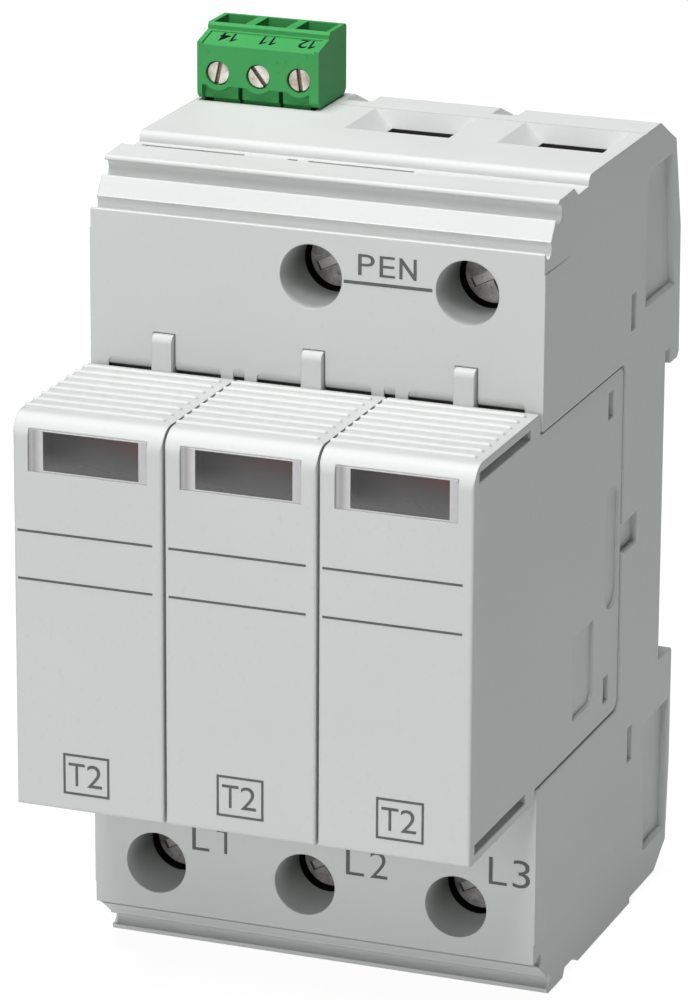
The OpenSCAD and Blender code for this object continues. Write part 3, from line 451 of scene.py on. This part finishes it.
def plasticMaterial(name, spec):
    material, tree, shader = startMaterial(name)
    grain = placeGroup(tree, mouldGrain, Grain_Scale=spec["grainScale"], Flow_Scale=spec["flowScale"])
    tone = mixColours(tree, grain["Flow"], spec["dark"], spec["light"])
    tone = mixColours(tree, grain["Speck"], tone, spec["fleck"])
    # painted shade: the hollow tone between the ribs and in the wells, the darkest tone within the blocks, in the
    # slits and over the plugs
    if "inside" in spec:
        tone = mixColours(tree, placeGroup(tree, hollowShade)["Dim"], tone, spec["hollow"])
        tone = mixColours(tree, placeGroup(tree, innerShade)["Inside"], tone, spec["inside"])
    tree.links.new(tone, shader.inputs["Base Color"])
    tree.links.new(spread(tree, grain["Flow"], spec["rough"]), shader.inputs["Roughness"])
    shader.inputs["Specular IOR Level"].default_value = spec.get("specular", 0.4)
    bumpOn(tree, grain["Height"], shader, spec["bump"], 0.35, spec.get("edge", 0.0))
    return material


def metalMaterial(name, spec):
    material, tree, shader = startMaterial(name)
    plate = placeGroup(tree, platedMetal, Line_Scale=spec["lineScale"], Cloud_Scale=spec["cloudScale"])
    tone = mixColours(tree, plate["Cloud"], spec["dark"], spec["light"])
    if "floor" in spec:  # floors of the screw slots
        depth = splitPlace(tree)["Y"]
        tone = mixColours(tree, mapRange(tree, depth, *spec["floorSpan"], 0, 1), tone, spec["floor"])
        if "wall" in spec:  # and their walls, darkened as painted shade
            low, high = spec["wallSpan"]
            wall = product(tree, above(tree, depth, low), below(tree, depth, high))
            tone = mixColours(tree, wall, tone, spec["wall"])
    tree.links.new(tone, shader.inputs["Base Color"])
    tree.links.new(spread(tree, plate["Line"], spec["rough"]), shader.inputs["Roughness"])
    shader.inputs["Metallic"].default_value = spec.get("metallic", 1.0)
    bumpOn(tree, plate["Height"], shader, spec["bump"], 0.3, spec.get("edge", 0.0))
    return material


# the two dark tones here are painted shade, one for the rooms of the blocks and one for the hollows
greyMoulding = {"inside": (0.030, 0.027, 0.026), "hollow": (0.210, 0.216, 0.212), "rough": (0.46, 0.54),
                "grainScale": 6500.0, "flowScale": 45.0, "bump": 0.00002, "edge": 0.00022}
plastics = {
    "housing_grey": dict(greyMoulding, dark=(0.606, 0.622, 0.612), light=(0.620, 0.636, 0.626),
                         fleck=(0.598, 0.614, 0.604)),
    "rear_grey": dict(greyMoulding, dark=(0.604, 0.620, 0.610), light=(0.618, 0.634, 0.624),
                      fleck=(0.596, 0.612, 0.602)),
    "varistor_coat": {"dark": (0.030, 0.060, 0.190), "light": (0.045, 0.085, 0.250), "fleck": (0.020, 0.040, 0.150),
                      "rough": (0.2, 0.32), "grainScale": 900.0, "flowScale": 120.0, "bump": 0.00006},
    "connector_green": {"dark": (0.054, 0.326, 0.092), "light": (0.060, 0.346, 0.100), "fleck": (0.050, 0.310, 0.086),
                        "rough": (0.44, 0.54), "grainScale": 7000.0, "flowScale": 120.0, "bump": 0.000015,
                        "edge": 0.00012, "specular": 0.12},
    "header_dark_green": {"dark": (0.030, 0.170, 0.060), "light": (0.040, 0.210, 0.075),
                          "fleck": (0.025, 0.140, 0.050), "rough": (0.45, 0.55), "grainScale": 7000.0,
                          "flowScale": 120.0, "bump": 0.000015},
    "switch_black": {"dark": (0.018, 0.018, 0.019), "light": (0.030, 0.030, 0.031), "fleck": (0.012, 0.012, 0.012),
                     "rough": (0.45, 0.55), "grainScale": 6000.0, "flowScale": 120.0, "bump": 0.00002},
}
metals = {
    # the dark tone for the walls of the screw slots is painted shade
    "screw_steel": {"dark": (0.230, 0.220, 0.217), "light": (0.580, 0.562, 0.556), "metallic": 0.35,
                    "floor": (0.860, 0.840, 0.820), "floorSpan": (-34.7 * mm, -34.5 * mm),
                    "wall": (0.060, 0.057, 0.055), "wallSpan": (-34.95 * mm, -34.38 * mm),
                    "rough": (0.26, 0.46), "lineScale": 1700.0, "cloudScale": 900.0, "bump": 0.00005,
                    "edge": 0.00012},
    "cage_steel": {"dark": (0.420, 0.410, 0.380), "light": (0.600, 0.590, 0.560), "rough": (0.3, 0.45),
                   "lineScale": 700.0, "cloudScale": 300.0, "bump": 0.00003},
    "signal_screw_nickel": {"dark": (0.440, 0.345, 0.250), "light": (0.900, 0.880, 0.830), "metallic": 0.75,
                            "floor": (0.260, 0.200, 0.150), "floorSpan": (-12.8 * mm, -12.6 * mm),
                            "rough": (0.24, 0.36), "lineScale": 700.0, "cloudScale": 560.0, "bump": 0.00002,
                            "edge": 0.00008},
    "busbar_copper": {"dark": (0.520, 0.250, 0.140), "light": (0.740, 0.400, 0.250), "rough": (0.28, 0.42),
                      "lineScale": 600.0, "cloudScale": 260.0, "bump": 0.00003},
    "contact_metal": {"dark": (0.560, 0.500, 0.360), "light": (0.740, 0.690, 0.560), "rough": (0.26, 0.4),
                      "lineScale": 1200.0, "cloudScale": 420.0, "bump": 0.00002},
}


def rampOver(tree, factor, stops):
    ramp = tree.nodes.new("ShaderNodeValToRGB")
    while len(ramp.color_ramp.elements) < len(stops):
        ramp.color_ramp.elements.new(0.5)
    for element, (position, colour) in zip(ramp.color_ramp.elements, stops):
        element.position = position
        element.color = (*colour, 1)
    tree.links.new(factor, ramp.inputs[0])
    return ramp.outputs["Color"]


rimTone = {
    "stops": [(0.0, (0.28, 0.27, 0.28)), (0.02, (0.44, 0.435, 0.44)), (0.05, (0.36, 0.355, 0.36)),
              (0.09, (0.56, 0.55, 0.56)), (0.115, (0.62, 0.61, 0.62)), (0.14, (0.58, 0.57, 0.58)),
              (0.92, (0.58, 0.57, 0.58)), (1.0, (0.56, 0.54, 0.56))],
    "worn": (0.30, 0.29, 0.30),
    "wornShare": 0.12,
    "rough": (0.30, 0.42),
}


def rimMaterial(name, spec):  # milky rim of a window, its tone given across the window
    material, tree, shader = startMaterial(name)
    grain = placeGroup(tree, mouldGrain, Grain_Scale=2500.0, Flow_Scale=900.0)
    tone = rampOver(tree, placeGroup(tree, windowShade)["Across"], spec["stops"])
    worn = product(tree, grain["Flow"], spec["wornShare"])
    tree.links.new(mixColours(tree, worn, tone, spec["worn"]), shader.inputs["Base Color"])
    tree.links.new(spread(tree, grain["Flow"], spec["rough"]), shader.inputs["Roughness"])
    bumpOn(tree, grain["Height"], shader, 0.00001, 0.2)
    return material


paneTone = {
    "foot": (0.184, 0.181, 0.182),
    "head": (0.070, 0.068, 0.069),
    "dim": (0.058, 0.056, 0.057),  # darker patch at the left
    "dimAcross": (0.20, 0.55),
    "dimUp": (0.15, 0.55),
    "blush": (0.165, 0.076, 0.076),  # warm glow of the part behind, at the upper right
    "blushAcross": (0.35, 0.95),
    "blushUp": (0.50, 1.0),
    "blushFlow": (0.7, 1.0),
    "rough": (0.34, 0.42),
    "alpha": (0.60, 0.66),
}
flagTone = dict(paneTone, foot=(0.360, 0.357, 0.360), head=(0.190, 0.185, 0.190), dim=(0.160, 0.157, 0.160),
                blush=(0.380, 0.170, 0.170), rough=(0.5, 0.6), alpha=(1.0, 1.0))


def paneMaterial(name, spec):
    material, tree, shader = startMaterial(name)
    grain = placeGroup(tree, mouldGrain, Grain_Scale=5000.0, Flow_Scale=160.0)
    shade = placeGroup(tree, windowShade)
    across, up = shade["Across"], shade["Up"]
    tone = mixColours(tree, spread(tree, up, (0, 1)), spec["foot"], spec["head"])
    patch = product(tree, mapRange(tree, across, *spec["dimAcross"], 1, 0), mapRange(tree, up, *spec["dimUp"], 0, 1))
    tone = mixColours(tree, patch, tone, spec["dim"])
    corner = product(tree, mapRange(tree, across, *spec["blushAcross"], 0, 1),
                     mapRange(tree, up, *spec["blushUp"], 0, 1), spread(tree, grain["Flow"], spec["blushFlow"]))
    tree.links.new(mixColours(tree, corner, tone, spec["blush"]), shader.inputs["Base Color"])
    tree.links.new(spread(tree, grain["Flow"], spec["rough"]), shader.inputs["Roughness"])
    tree.links.new(spread(tree, grain["Flow"], spec["alpha"]), shader.inputs["Alpha"])
    bumpOn(tree, grain["Height"], shader, 0.00002, 0.35)
    return material


def inkMaterial(name, dark, light):
    material, tree, shader = startMaterial(name)
    grain = placeGroup(tree, mouldGrain, Grain_Scale=5000.0, Flow_Scale=700.0)
    tree.links.new(mixColours(tree, grain["Flow"], dark, light), shader.inputs["Base Color"])
    tree.links.new(spread(tree, grain["Flow"], (0.5, 0.62)), shader.inputs["Roughness"])
    shader.inputs["Specular IOR Level"].default_value = 0.12
    bumpOn(tree, grain["Height"], shader, 0.00001, 0.25)
    return material


rimMilky = rimMaterial("rimMilky", rimTone)
paneGrey = paneMaterial("paneGrey", paneTone)
inkGrey = inkMaterial("inkGrey", (0.112, 0.123, 0.118), (0.132, 0.144, 0.138))
inkBlack = inkMaterial("inkBlack", (0.004, 0.004, 0.004), (0.008, 0.009, 0.008))
materials = {"window_clear": rimMilky, "flag_grey": paneMaterial("flag_grey", flagTone)}
for makeMaterial, finishes in ((plasticMaterial, plastics), (metalMaterial, metals)):
    for slotName, finish in finishes.items():
        materials[slotName] = makeMaterial(slotName, finish)

for subpart in frame["record"]["subparts"]:
    mesh = nodes[subpart["node"]].data
    for index in range(len(mesh.materials)):
        mesh.materials[index] = materials[subpart["material_slot"]]
print("finishes made:", len(materials))

# pieces of the scene


def keepPiece(name, shape, material, body):
    piece = makeObject(name, shape, material)
    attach(piece, body)
    return piece


def boxShape(shape, low, high):
    verts = bmesh.ops.create_cube(shape, size=1.0)["verts"]
    bmesh.ops.scale(shape, verts=verts, vec=[h - l for l, h in zip(low, high)])
    bmesh.ops.translate(shape, verts=verts, vec=[(h + l) / 2 for l, h in zip(low, high)])
    return verts


statusWindow = {
    "sideGap": 0.22 * mm,
    "footGap": 0.82 * mm,
    "headOver": 0.08 * mm,
    "backGap": 0.05 * mm,
    "leftRim": 1.72 * mm,
    "rightRim": 0.95 * mm,
    "topRim": 0.14 * mm,
    "bottomRim": 0.20 * mm,
    "paneSink": 0.05 * mm,
    "paneThick": 0.5 * mm,
    "round": 0.04 * mm,
    "sharp": 1.0,  # angle in radians from which an edge is rounded
}


def buildWindow(number, spec):
    node = "plug_%d_window" % number
    body = "plug_%d" % number
    low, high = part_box(node)
    front = low.y
    middle = (low.x + high.x) / 2
    halfWide = (high.x - low.x) / 2 - spec["sideGap"]
    bottom = low.z + spec["footGap"]
    top = high.z + spec["headOver"]
    centre = (top + bottom) / 2
    paneX = (middle - halfWide + spec["leftRim"], middle + halfWide - spec["rightRim"])
    paneZ = (bottom + spec["bottomRim"], top - spec["topRim"])
    paneFront = front + spec["paneSink"]
    rim = bmesh.new()
    bmesh.ops.create_grid(rim, x_segments=1, y_segments=1, size=0.5)
    bmesh.ops.rotate(rim, verts=rim.verts, matrix=Matrix.Rotation(math.radians(90), 3, "X"))
    bmesh.ops.scale(rim, verts=rim.verts, vec=(2 * halfWide, 1, top - bottom))
    bmesh.ops.translate(rim, verts=rim.verts, vec=(middle, front, centre))
    inner = bmesh.ops.inset_individual(rim, faces=rim.faces[:], thickness=spec["topRim"], depth=0)
    hollow = [f for f in rim.faces if f not in inner["faces"]]
    for vert in hollow[0].verts:
        vert.co.x = paneX[0] if vert.co.x < middle else paneX[1]
        vert.co.z = paneZ[1] if vert.co.z > centre else paneZ[0]
    bmesh.ops.delete(rim, geom=hollow, context="FACES_ONLY")
    walls = bmesh.ops.extrude_face_region(rim, geom=rim.faces[:])
    moved = [g for g in walls["geom"] if isinstance(g, bmesh.types.BMVert)]
    bmesh.ops.translate(rim, verts=moved, vec=(0, high.y - front - spec["backGap"], 0))
    bmesh.ops.recalc_face_normals(rim, faces=rim.faces)
    sharp = [e for e in rim.edges if len(e.link_faces) == 2 and e.calc_face_angle(0) > spec["sharp"]]
    bmesh.ops.bevel(rim, geom=sharp, offset=spec["round"], offset_type="OFFSET", affect="EDGES", segments=2,
                    profile=0.5, material=-1)
    rimPiece = keepPiece("windowRim%d" % number, rim, rimMilky, body)
    pane = bmesh.new()
    boxShape(pane, (paneX[0], paneFront, paneZ[0]), (paneX[1], paneFront + spec["paneThick"], paneZ[1]))
    keepPiece("windowPane%d" % number, pane, paneGrey, body)
    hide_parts(node)


for number in (1, 2, 3):
    buildWindow(number, statusWindow)
print("windows made")

# printed marks, their places in mm

marks = {"thick": 0.03 * mm, "lift": 0.015 * mm, "size": 3 * mm, "steps": 6}


def inMm(values):
    return [v * mm for v in values]


def glyphMesh(letter, bold):
    curve = bpy.data.curves.new("glyph", "FONT")
    curve.body = letter
    curve.size = marks["size"]
    curve.extrude = marks["thick"] / 2
    curve.offset = bold
    curve.resolution_u = marks["steps"]
    holder = bpy.data.objects.new("glyph", curve)
    scene.collection.objects.link(holder)
    bpy.context.view_layer.update()
    mesh = bpy.data.meshes.new_from_object(holder.evaluated_get(bpy.context.evaluated_depsgraph_get()))
    bpy.data.objects.remove(holder)
    bpy.data.curves.remove(curve)
    return mesh


def fitGlyph(shape, letter, box, bold):  # letter stretched to a box of width and height
    mesh = glyphMesh(letter, bold)
    xs = [v.co.x for v in mesh.vertices]
    ys = [v.co.y for v in mesh.vertices]
    wide = (box[1] - box[0]) / (max(xs) - min(xs))
    tall = (box[3] - box[2]) / (max(ys) - min(ys))
    mesh.transform(Matrix.Translation((box[0], box[2], 0)) @ Matrix.Diagonal((wide, tall, 1, 1))
                   @ Matrix.Translation((-min(xs), -min(ys), 0)))
    shape.from_mesh(mesh)
    bpy.data.meshes.remove(mesh)


def barShape(shape, x, z):
    return boxShape(shape, (x[0], z[0], -marks["thick"] / 2), (x[1], z[1], marks["thick"] / 2))


def drawOne(shape, box, stem, flag):  # the figure 1: a stem and its flag, the drops of its corners as shares
    tall = box[3] - box[2]
    inner = box[1] - stem
    barShape(shape, (inner, box[1]), (box[2], box[3]))
    for vert in barShape(shape, (box[0], inner), (box[2], box[3])):
        lower = vert.co.y < box[2] + tall / 2
        if vert.co.x < (box[0] + inner) / 2:
            drop = flag[0] if lower else flag[3]
        else:
            drop = flag[1] if lower else flag[2]
        vert.co.y = box[3] - drop * tall


def drawLetter(shape, letter, box, spec):
    if letter == "1":
        drawOne(shape, inMm(box), spec["stem"] * mm, spec["flag"])
    else:
        fitGlyph(shape, letter, inMm(box), spec["bold"].get(letter, 0.0) * mm)


def printOnFront(name, shape, depth, body):  # a drawing in X and Z, laid on a face towards the front
    bmesh.ops.rotate(shape, verts=shape.verts, matrix=Matrix.Rotation(math.radians(90), 3, "X"))
    bmesh.ops.translate(shape, verts=shape.verts, vec=(0, depth - marks["lift"], 0))
    keepPiece(name, shape, inkGrey, body)


shoulderMarks = {
    "letters": {
        "penMark": [("P", (5.12, 7.05, 36.18, 38.55)), ("E", (7.62, 9.42, 36.18, 38.55)),
                    ("N", (9.92, 11.92, 36.18, 38.55))],
        "lineMark1": [("L", (-14.65, -12.56, -33.80, -30.62)), ("1", (-11.66, -10.36, -33.80, -30.62))],
        "lineMark2": [("L", (4.11, 6.28, -34.09, -30.85)), ("2", (7.01, 9.09, -34.09, -30.85))],
        "lineMark3": [("L", (21.19, 23.31, -32.72, -29.50)), ("3", (24.01, 26.05, -32.76, -29.46))],
    },
    "bold": {"P": -0.01, "E": -0.015, "N": 0.045, "L": -0.025, "2": -0.025, "3": -0.025},
    "stem": 0.36,
    "flag": (0.195, 0.195, 0.016, 0.095),
    "penLine": ((3.45, 13.75), (35.10, 35.47)),
}


def printOnShoulders(spec):
    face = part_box("front_housing")[0].y
    for name, letters in spec["letters"].items():
        drawing = bmesh.new()
        for letter, box in letters:
            drawLetter(drawing, letter, box, spec)
        if name == "penMark":
            barShape(drawing, *(inMm(span) for span in spec["penLine"]))
        printOnFront(name, drawing, face, "base")


plugMarks = {
    "rules": (9.8, 4.3),
    "ruleX": (-8.3, 7.6),
    "ruleThick": 0.26,
    "boxX": (-2.75, 2.75),
    "boxZ": (-20.15, -15.40),
    "boxLine": 0.27,
    "letters": [("T", (-2.12, -0.17, -19.1, -16.45)), ("2", (0.07, 1.87, -19.1, -16.45))],
    "bold": {"T": -0.01, "2": -0.01},
    "shift": (-0.4, 0.0, 0.75),
}


def printOnPlug(number, spec):
    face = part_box("plug_1_housing")[0].y
    low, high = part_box("plug_%d_housing" % number)
    middle = (low.x + high.x) / 2 / mm
    drawing = bmesh.new()
    half = spec["ruleThick"] / 2
    for z in spec["rules"]:
        barShape(drawing, inMm(middle + x for x in spec["ruleX"]), inMm((z - half, z + half)))
    middle += spec["shift"][number - 1]
    left, right = (middle + x for x in spec["boxX"])
    bottom, top = spec["boxZ"]
    line = spec["boxLine"]
    for x, z in (((left, right), (bottom, bottom + line)), ((left, right), (top - line, top)),
                 ((left, left + line), (bottom + line, top - line)),
                 ((right - line, right), (bottom + line, top - line))):
        barShape(drawing, inMm(x), inMm(z))
    for letter, box in spec["letters"]:
        drawLetter(drawing, letter, (middle + box[0], middle + box[1], box[2], box[3]), spec)
    printOnFront("plugMark%d" % number, drawing, face, "plug_%d" % number)


connectorMarks = {
    "second": (("4", (-0.15, 1.15)), ("1", (0.05, 0.75)), ("2", (-0.15, 1.05))),
    "first": (-1.10, -0.40),
    "shift": (0.6, 0.4, 0.25),
    "height": 2.05,
    "bold": {"4": 0.03, "2": 0.03},
    "stem": 0.26,
    "flag": (0.38, 0.22, 0.02, 0.22),
    "slope": ((-13.2, 52.65), (-10.05, 53.45)),  # label face, front edge to rear edge
    "along": 0.68,
}


def printOnConnector(spec):
    front, rear = (Vector((0, y * mm, z * mm)) for y, z in spec["slope"])
    run = (rear - front).normalized()
    outward = Vector((1, 0, 0)).cross(run)
    centre = front.lerp(rear, spec["along"]) + outward * marks["lift"]
    turn = Matrix((Vector((-1, 0, 0)), -run, outward)).transposed().to_4x4()
    half = spec["height"] / 2
    drawing = bmesh.new()
    for number, second in enumerate(spec["second"], 1):
        low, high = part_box("signal_screw_%d" % number)
        middle = (low.x + high.x) / 2 + spec["shift"][number - 1] * mm
        label = bmesh.new()
        for letter, (left, right) in (("1", spec["first"]), second):
            drawLetter(label, letter, (left, right, -half, half), spec)
        label.transform(Matrix.Translation(Vector((middle, centre.y, centre.z))) @ turn)
        mesh = bpy.data.meshes.new("label")
        label.to_mesh(mesh)
        label.free()
        drawing.from_mesh(mesh)
        bpy.data.meshes.remove(mesh)
    keepPiece("connectorMark", drawing, inkBlack, "connector")


printOnShoulders(shoulderMarks)
for number in (1, 2, 3):
    printOnPlug(number, plugMarks)
printOnConnector(connectorMarks)
print("marks printed")
